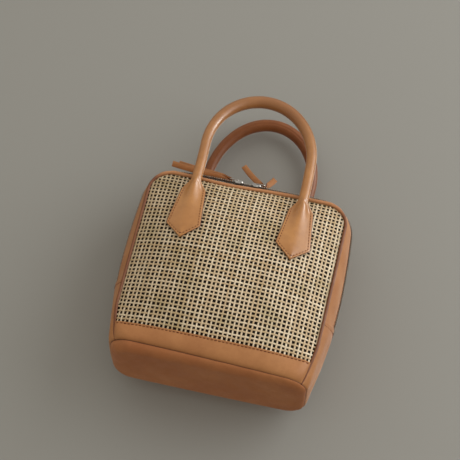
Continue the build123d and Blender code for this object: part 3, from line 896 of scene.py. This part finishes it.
def side_panel(name, direction, node, seed):
    """Lower gusset piece over the zip's end: front to back in one, with a stitched upper edge."""
    v, out = columns([
        (0.0, -3.2), (0.0, -1.9), (0.006, -0.9), (0.015, 0.0), (0.035, 0.6), (0.08, 1.0), (0.2, 1.1),
        (0.46, 1.1), (0.60, 1.1), (0.74, 1.1), (0.86, 1.08), (0.91, 0.98), (SIDE_ROW, 0.86), (0.95, 0.92),
        (0.97, 1.08), (0.988, 1.08), (1.0, 0.85), (1.0, 0.3), (0.97, -0.2), (0.5, -0.9), (0.04, -3.2)])
    across = np.linspace(-1, 1, 101)[:, None]

    def place(across, v):
        """Outline place and depth: the upper edge runs down from the ridge to both pipings."""
        top = SIDE_TOP_Z - SIDE_SLOPE * np.abs(across) ** 1.15
        foot = seam_z(direction * BASE_HALF_W) - SEAM_LAP
        z = foot + (top - foot) * v
        s = -3 + (z - SEAM_Z) / (RIDGE_TOP - RIDGE_CORNER_R - SEAM_Z)
        y = across * (rim_depth(s) - 0.5)
        return s, y

    s, y = place(across, v)
    puff = np.sin(math.pi * v) * (out > 0.8) * 0.35 * waves(seed, y * 1.0, s * 60.0, period=34.0)
    end = smoothstep(np.clip((1 - np.abs(across)) * 36 / 2.5, 0, 1))
    out = np.minimum(out, 0.2) + np.maximum(out - 0.2, 0) * (0.3 + 0.7 * end)
    points = gusset_point(s, y, out + puff * end)
    points[..., 0] *= -direction
    loft(name, points, [leather], replaces=(node,), slot="leather")
    row = np.linspace(-0.93, 0.93, 19)
    s, y = place(row, SIDE_ROW)
    centres = gusset_point(s, y, 1.0)
    ahead = gusset_point(*place(row + 0.01, SIDE_ROW), 1.0)
    normals = gusset_normal(s, y)
    for a in (centres, ahead, normals):
        a[..., 0] *= -direction
    stitches(name + "_stitches", centres, ahead - centres, normals, 2.6, 0.36, slot="leather")


def zip_tape(name, side, node):
    """Woven tape under a gusset strip, with a bead along its edge at the teeth."""
    s = s_steps(STRIP_END_S, -STRIP_END_S, 2.2)[:, None]
    y, out = columns([(2.3, -1.0), (2.7, -0.75), (3.3, -1.0), (5.0, -1.25), (8.0, -1.5), (12.0, -1.7),
                      (12.0, -2.2), (6.0, -2.0), (2.6, -1.7), (2.2, -1.35)])
    loft(name, gusset_point(s, side * y, out), [tape_cloth], replaces=(node,), slot="tape")


def zip_teeth(name, side, node):
    """Row of metal teeth clamped on the tape's edge, each reaching just past the middle."""
    s = s_steps(ZIP_END_S + 0.01, -ZIP_END_S - 0.01, TEETH_PITCH)
    if side > 0:
        length = np.interp(s, S_TABLE, RIDGE_LENGTH) + TEETH_PITCH / 2
        s = np.interp(length, RIDGE_LENGTH, S_TABLE)[:-1]
    zero = np.zeros_like(s)
    origin = gusset_point(s, zero)
    up = gusset_normal(s, zero)
    y_axis = np.tile([0.0, float(side), 0.0], (len(s), 1))
    along = np.cross(up, y_axis)
    stations = [(3.4, 0.50, 0.55), (2.9, 0.80, 0.95), (1.2, 0.72, 0.90), (0.5, 0.50, 0.80), (0.1, 0.72, 0.78),
                (-0.55, 0.62, 0.62), (-0.85, 0.35, 0.35)]
    angle = (np.arange(8) + 0.5) * math.pi / 4
    ring = np.stack([np.cos(angle), np.sin(angle)], -1)
    ring = np.sign(ring) * np.abs(ring) ** 0.6
    verts, faces = [], []
    for o, u, a, y in zip(origin, up, along, y_axis):
        faces.extend(ring_faces(len(stations), 8, start=8 * len(verts)))
        for reach, half_w, half_h in stations:
            middle = o + y * reach + u * TEETH_LIFT
            verts.append(middle + ring[:, :1] * half_w * a + ring[:, 1:] * half_h * u)
    verts = np.concatenate(verts)
    add_mesh(name, verts, outward(verts, faces), [zip_metal], replaces=(node,), slot="zip_metal")


# -------- handles
FOOT_Y = float(half_depth(TAB_TOP_Z) + swell(HANDLE_HALF, TAB_TOP_Z)) + LEG_R + 1.1
LEAN_TAN = HANDLE_LEAN / (APEX_Z - TAB_TOP_Z)
RIM_W = 3.7
BLEND_LOW = 6.0
BLEND_HIGH = 8.5
EAR = 7.5
TAB_STITCH = 3.2
TAB_STITCH_INSET = 2.5
TAB_EDGE_FACES = 3


def tab_half_width(z):
    """Half width of a tab at height z: point, shoulders, narrow top with rounded ears."""
    z = np.asarray(z, float)
    rise = z - TAB_TIP_Z
    lower = TAB_HALF_W * rise / TAB_SHOULDER + 0.35
    share = np.clip((TAB_TOP_Z - z) / (TAB_TOP_Z - TAB_TIP_Z - TAB_SHOULDER), 0, 1.4)
    upper = TAB_TOP_HALF_W + (TAB_HALF_W - TAB_TOP_HALF_W) * share**1.1
    soft = 0.55
    tab = -soft * np.log(np.exp(-np.clip(lower, -5, 60) / soft) + np.exp(-upper / soft))
    over = np.clip((z - TAB_TOP_Z) / EAR, 0, 1)
    ear = LEG_R + 0.3 + (TAB_TOP_HALF_W - LEG_R - 0.3) * np.sqrt(1 - over**2)
    return np.where(z > TAB_TOP_Z, ear, np.maximum(tab, 0.25))


def tab_dome(z):
    """Height of the rolled core under a tab's leather."""
    down = np.clip(TAB_TOP_Z - z, 0, None)
    near_tip = 1 - np.exp(-np.clip(z - TAB_TIP_Z, 0, None) / 9.0)
    return 8.4 * np.exp(-down / 15.0) + 1.0 * near_tip


def tab_top(x, z):
    """Height of a tab's outer face over the panel at lateral place x from its middle."""
    width = tab_half_width(z)
    core = np.clip(np.abs(x) / np.maximum(width - RIM_W, 1.0), 0, 1)
    edge = np.clip(np.abs(x) / width, 0, 1)
    rim = RIM_T * (1 - 0.45 * edge**14)
    groove = 0.25 * np.exp(-((width - RIM_W + 0.6 - np.abs(x)) / 0.8) ** 2)
    tip = 1 - 0.55 * np.exp(-np.clip(z - TAB_TIP_Z, 0, None) / 0.8)
    return (rim + tab_dome(z) * (1 - core**2) ** 2 - groove) * tip


def tab_ring(side, centre_x, z, flip, points):
    """Closed ring round a tab at height z, lying on the panel."""
    angle = np.linspace(0, 2 * math.pi, points, endpoint=False)
    c, s = np.cos(angle), np.sin(angle)
    width = tab_half_width(z)
    x = width * c
    top = tab_top(x, z)
    bottom = RIM_T * 0.5 * np.abs(c) ** 14
    height = np.where(s >= 0, top, bottom)
    return panel_point(side, centre_x + flip * x, np.full(points, float(z)), 0.15 + height)


def handle_frame(z):
    """y of the roll's centre line at height z."""
    return FOOT_Y - (z - TAB_TOP_Z) * LEAN_TAN


def handle(name, side, node):
    """One rolled handle with both tabs, as one skin from tab tip to tab tip."""
    points = 72
    lean = np.array([0.0, -side * LEAN_TAN, 1.0])
    normal = unit(np.array([0.0, side * 1.0, LEAN_TAN]))
    angle = np.linspace(0, 2 * math.pi, points, endpoint=False)
    tab_z = np.concatenate([
        TAB_TIP_Z + np.array([0.0, 0.12, 0.4]),
        np.arange(TAB_TIP_Z + 0.8, TAB_TIP_Z + TAB_SHOULDER + 3, 0.6),
        np.arange(TAB_TIP_Z + TAB_SHOULDER + 3.5, TAB_TOP_Z - BLEND_LOW, 1.6),
        np.arange(TAB_TOP_Z - BLEND_LOW + 0.4, TAB_TOP_Z + BLEND_HIGH, 0.6),
    ])
    leg_z = np.arange(TAB_TOP_Z + BLEND_HIGH + 0.6, BEND_Z, 2.2)

    def skewed(x, z):
        return x + HANDLE_SKEW[side] * float(smoothstep((z - PANEL_TOP) / (APEX_Z - PANEL_TOP)))

    def roll_ring(x, z, tangent, radius):
        centre = np.array([x, side * handle_frame(z), z])
        lateral = np.cross(tangent, normal) * -side
        r = radius - 0.35 * np.exp(-((angle - 1.5 * math.pi) / 0.12) ** 2)
        return centre + (r * np.cos(angle))[:, None] * lateral + (r * np.sin(angle))[:, None] * normal

    def leg(flip):
        """Rings of a tab and of the straight roll over it; flip -1 is the right leg."""
        foot_x = -flip * HANDLE_HALF
        rings = []
        for z in tab_z:
            blend = float(smoothstep((z - (TAB_TOP_Z - BLEND_LOW)) / (BLEND_LOW + BLEND_HIGH)))
            roll = roll_ring(foot_x, z, unit(lean) * flip, LEG_R)
            rings.append(tab_ring(side, foot_x, z, flip, points) * (1 - blend) + roll * blend)
        return rings + [roll_ring(skewed(foot_x, z), z, unit(lean) * flip, LEG_R) for z in leg_z]

    arch = []
    crown = APEX_Z - BEND_Z
    for a in np.linspace(math.pi, 0, 64):
        rise = -crown * math.cos(a)
        run = np.array([HANDLE_HALF * math.sin(a), -side * LEAN_TAN * rise, rise])
        z = BEND_Z + crown * math.sin(a)
        radius = LEG_R + (APEX_R - LEG_R) * math.sin(a)
        arch.append(roll_ring(skewed(HANDLE_HALF * math.cos(a), z), z, unit(run), radius))
    rings = np.array(leg(1) + arch + leg(-1)[::-1])
    on_tab = list(tab_z < TAB_TOP_Z + 2)
    on_tab += [False] * (len(rings) - 2 * len(tab_z)) + on_tab[::-1]
    verts = rings.reshape(-1, 3)
    faces = outward(verts, ring_faces(len(rings), points))
    row = np.arange(points)
    from_edge = np.minimum(np.minimum(row, points - 1 - row), np.abs(row - points // 2 + 0.5))
    edge = from_edge < TAB_EDGE_FACES
    painted = np.zeros(len(faces), int)
    for i in range(len(rings) - 1):
        if on_tab[i] and on_tab[i + 1]:
            painted[i * points:(i + 1) * points] = edge
    # The back handle gets the darker copy of the leather: painted shade.
    skin = handle_leather if side < 0 else back_handle_shaded_leather
    add_mesh(name, verts, faces, [skin, edge_paint], replaces=(node,), slot="leather", face_materials=painted)
    for centre_x, label in ((-HANDLE_HALF, "left"), (HANDLE_HALF, "right")):
        tab_stitches(f"{name}_stitches_{label}", side, centre_x)


def tab_stitches(name, side, centre_x):
    """Stitching round three sides and the point of a tab, just inside its edge."""
    z = np.linspace(TAB_TOP_Z - 1.0, TAB_TIP_Z + TAB_STITCH_INSET * 1.55, 400)
    slant = np.where(z < TAB_TIP_Z + TAB_SHOULDER, 1.25, 1.0)
    x = np.maximum(tab_half_width(z) - TAB_STITCH_INSET * (slant * 1.05), 0.0)
    line = np.vstack([np.stack([-x, z], -1), np.stack([x, z], -1)[::-1]])
    row = resample(line, int(lengths(line)[-1] / TAB_STITCH))
    x, z = row.T
    step = unit(np.gradient(row, axis=0)) * 0.4
    top = tab_top(x, z) - 0.12

    def at(px, pz, h):
        return panel_point(side, centre_x + px, pz, 0.15 + h)

    centres = at(x, z, top)
    ahead = at(x + step[:, 0], z + step[:, 1], top)
    stitches(name, centres, ahead - centres, panel_normal(side, centre_x + x, z), 2.15, 0.48, slot="leather")


# -------- thongs
STRAP_W = 6.0
STRAP_T = 1.5


def strap(name, path, widths, body, node):
    """Flat leather strap along path with painted edges; widths gives its width direction at each point."""
    tangent = unit(np.gradient(path, axis=0))
    across = unit(widths - tangent * np.sum(widths * tangent, -1, keepdims=True))
    normal = np.cross(tangent, across)
    w, t = STRAP_W / 2, STRAP_T / 2
    section = [(-w, -t * 0.6), (-w + 0.3, -t), (0, -t), (w - 0.3, -t), (w, -t * 0.6),
               (w, t * 0.6), (w - 0.3, t), (0, t), (-w + 0.3, t), (-w, t * 0.6)]
    rings = np.stack([path + across * a + normal * b for a, b in section], 1)
    verts = rings.reshape(-1, 3)
    faces = outward(verts, ring_faces(len(rings), len(section)))
    painted = np.zeros(len(faces), int)
    painted[len(section) // 2 - 1:-2:len(section) // 2] = 1
    painted[-2:] = 1
    add_mesh(name, verts, faces, [leather, edge_paint], body=body, replaces=(node,), slot="leather",
             face_materials=painted)


def turned(path, keys):
    """Width directions along path, blended between keys of (share of the length, direction)."""
    t = np.linspace(0, 1, len(path))
    shares = [k[0] for k in keys]
    vectors = np.array([k[1] for k in keys], float)
    return unit(np.stack([np.interp(t, shares, vectors[:, c]) for c in range(3)], -1))


def thongs():
    """Both thongs, each one strap that folds over the far bar of its pull."""
    left_low, left_high = box_mm("pull_left")
    right_high = box_mm("pull_right")[1]
    wire = 0.65
    pivot_z = (left_low[2] + left_high[2]) / 2
    bar = np.array([left_low[0] + wire, 0.0, pivot_z])
    wrap = wire + 0.25 + STRAP_T / 2
    bend = wrap * 0.72
    points = [(-56, 1.2, 8.2), (-44, 0.8, 6.6), (-26, 0.2, 4.6), (-10, 0.0, 3.0), (-3.5, 0, wrap + 0.3),
              (0, 0, wrap), (bend, 0, bend), (wrap, 0, 0), (bend, 0, -bend), (0, 0, -wrap),
              (-3.5, -0.5, -1.2), (-12, -2.0, 0.2), (-28, -3.4, 1.0), (-46, -4.2, 2.0), (-62, -4.6, 3.6)]
    path = smooth_path(bar + np.array(points, float), 150)
    keys = [(0, (0, -0.5, 0.87)), (0.38, (0, -0.55, 0.83)), (0.445, (0, -1, 0.1)), (0.47, (0, -1, 0)),
            (0.515, (0, -1, 0)), (0.57, (0, -0.75, 0.66)), (0.7, (0, -0.6, 0.8)), (1, (0, -0.5, 0.87))]
    strap("thong_left_strap", path, turned(path, keys), "thong_left", "thong_left")
    bar = np.array([right_high[0] - wire, 0.0, pivot_z])
    points = [(-27.7, 15, 27.2), (-21.5, 12, 20.0), (-14.5, 8.2, 12.4), (-7.4, 3.6, 5.2), (-2.6, 0.8, 1.6),
              (-wrap, 0, 0), (-bend, 0, -bend), (0, 0, -wrap), (bend, 0, -bend), (wrap, 0.3, 0.2),
              (2.2, 1.6, 2.4), (4.0, 5.5, 7.4), (5.9, 10.6, 13.2), (7.4, 15, 18.7)]
    path = smooth_path(bar + np.array(points, float), 130)
    keys = [(0, (-0.50, 0.10, -0.60)), (0.47, (-0.43, 0.23, -0.57)), (0.57, (0, 1, 0)), (0.655, (0, 1, 0)),
            (0.74, (0.74, 0.35, -0.57)), (1, (0.78, 0.25, -0.50))]
    strap("thong_right_strap", path, turned(path, keys), "thong_right", "thong_right")


# -------- carried-over CAD nodes
def carried_over():
    for half in ("front", "back"):
        for label in ("left", "right"):
            coat_node(f"{half}_backing_{label}", backing_leather)
    for node in ("zip_stop_left", "zip_stop_right"):
        coat_node(node, zip_metal)
    for label in ("left", "right"):
        coat_node("slider_" + label, slider_metal)
        coat_node("pull_" + label, slider_metal)
        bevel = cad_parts["slider_" + label].modifiers.new("edges", "BEVEL")
        bevel.width = 0.25 * MM
        bevel.segments = 2
        bevel.limit_method = "ANGLE"


# -------- stage, light, camera
FLOOR = linear(149, 148, 143)
FLOOR_REACH = 6000.0
REST_GAP = 19.6


def plain_floor(name, corners):
    """One-sided sheet: seen from its front only, and it blocks no light."""
    mesh = bpy.data.meshes.new(name)
    mesh.from_pydata([tuple(np.array(c) * MM) for c in corners], [], [(0, 1, 2, 3)])
    n = Nodes(bpy.data.materials.new(name))
    tint = n.mix(n.add("TexNoise", out="Fac", Scale=6.0), FLOOR, [c * 0.94 for c in FLOOR])
    sheet = n.add("BsdfDiffuse", Color=tint)
    clear = n.add("BsdfTransparent")
    turned_away = n.add("NewGeometry", out="Backfacing")
    mesh.materials.append(n.close("Material", n.add("MixShader", turned_away, sheet, clear)))
    obj = new_object(name, mesh)
    for rays in ("shadow", "diffuse", "glossy", "transmission"):
        setattr(obj, "visible_" + rays, False)


def build_stage():
    """The plane that the bag's back lies on in the photograph, and a floor under the standing bag."""
    slope = (TOP_HALF_D - BASE_HALF_D) / PANEL_TOP
    corners = [(a * FLOOR_REACH, b * FLOOR_REACH) for a, b in ((-1, -1), (1, -1), (1, 1), (-1, 1))]
    plain_floor("rest_floor", [(x, BASE_HALF_D + REST_GAP + slope * z, z) for x, z in corners])
    plain_floor("stand_floor", [(x, y, -0.3) for x, y in corners])


LIGHT_TARGET = (0, 0, 0.12)


def area_light(name, place, size, power, color):
    data = bpy.data.lights.new(name, "AREA")
    data.shape = "DISK"
    data.size = size
    data.energy = power
    data.color = color
    obj = new_object(name, data)
    obj.location = place
    obj.rotation_euler = (Vector(LIGHT_TARGET) - Vector(place)).to_track_quat("-Z", "Y").to_euler()
    return obj


def build_light():
    """Wide window at the right, its bright pane for the gloss, a weak light behind, and a soft room."""
    area_light("window", (1.35, -0.85, 0.85), 2.1, 24, (0.97, 0.985, 1.0))
    gleam = area_light("gleam", (1.45, -0.55, 0.85), 0.55, 20, (1.0, 0.98, 0.95))
    gleam.visible_diffuse = False
    area_light("behind", (0.9, 2.2, 1.2), 1.6, 9, (1.0, 0.98, 0.95))
    world = bpy.data.worlds.new("room")
    bpy.context.scene.world = world
    n = Nodes(world)
    way = n.add("TexCoord", out="Generated")
    room = n.mix(n.span(n.place("Z", way), -0.9, 0.9), (0.50, 0.465, 0.41), (0.98, 0.94, 0.87))
    whole = n.mix(n.span(n.place("Y", way), -0.35, 0.25), room, (0.27, 0.25, 0.22))
    n.close("World", n.add("Background", Color=whole))


CAMERA_TARGET = (-10.45, -30.0, 150.9)
CAMERA_DISTANCE = 1498.0
CAMERA_ELEVATION = -25.6
CAMERA_AZIMUTH = 5.6
CAMERA_ROLL = 14.0
CAMERA_LENS = 117.4


def build_camera():
    e, a, r = (math.radians(v) for v in (CAMERA_ELEVATION, CAMERA_AZIMUTH, CAMERA_ROLL))
    back = Vector((math.sin(a) * math.cos(e), -math.cos(a) * math.cos(e), math.sin(e)))
    right = Vector((0, 0, 1)).cross(back).normalized()
    up = back.cross(right)
    turned_right = right * math.cos(r) + up * math.sin(r)
    turned_up = up * math.cos(r) - right * math.sin(r)
    data = bpy.data.cameras.new("camera")
    data.lens = CAMERA_LENS
    data.sensor_width = 36
    data.clip_start = 0.01
    data.clip_end = 100
    camera = new_object("camera", data)
    rotation = Matrix((turned_right, turned_up, back)).transposed()
    place = (Vector(CAMERA_TARGET) + back * CAMERA_DISTANCE) * MM
    camera.matrix_world = Matrix.Translation(place) @ rotation.to_4x4()
    bpy.context.scene.camera = camera


# -------- build
for side, half, seed in ((-1, "front", 11), (1, "back", 47)):
    woven_panel(f"{half}_cane_weave", side, f"{half}_cane_panel", seed)
    panel_lining(f"{half}_lining", side, f"{half}_panel_lining")
    base_band(f"{half}_band", side, f"{half}_base_band", seed + 1)
    piping(f"{half}_piping", side, f"{half}_panel_piping", seed + 2)
    gusset_strip(f"{half}_gusset", side, f"{half}_gusset_strip", seed + 3)
    zip_tape(f"{half}_tape", side, f"{half}_zip_tape")
    zip_teeth(f"{half}_teeth", side, f"{half}_zip_teeth")
    handle(f"{half}_rolled_handle", side, f"{half}_handle")
for direction, label, seed in ((-1, "left", 71), (1, "right", 83)):
    side_panel(f"side_{label}", direction, f"side_panel_{label}", seed)
base_pan()
base_stiffener()
gusset_cloth()
thongs()
carried_over()
build_stage()
build_light()
build_camera()

scene = bpy.context.scene
scene.view_settings.view_transform = "Standard"
scene.view_settings.look = "None"
bpy.context.view_layer.update()
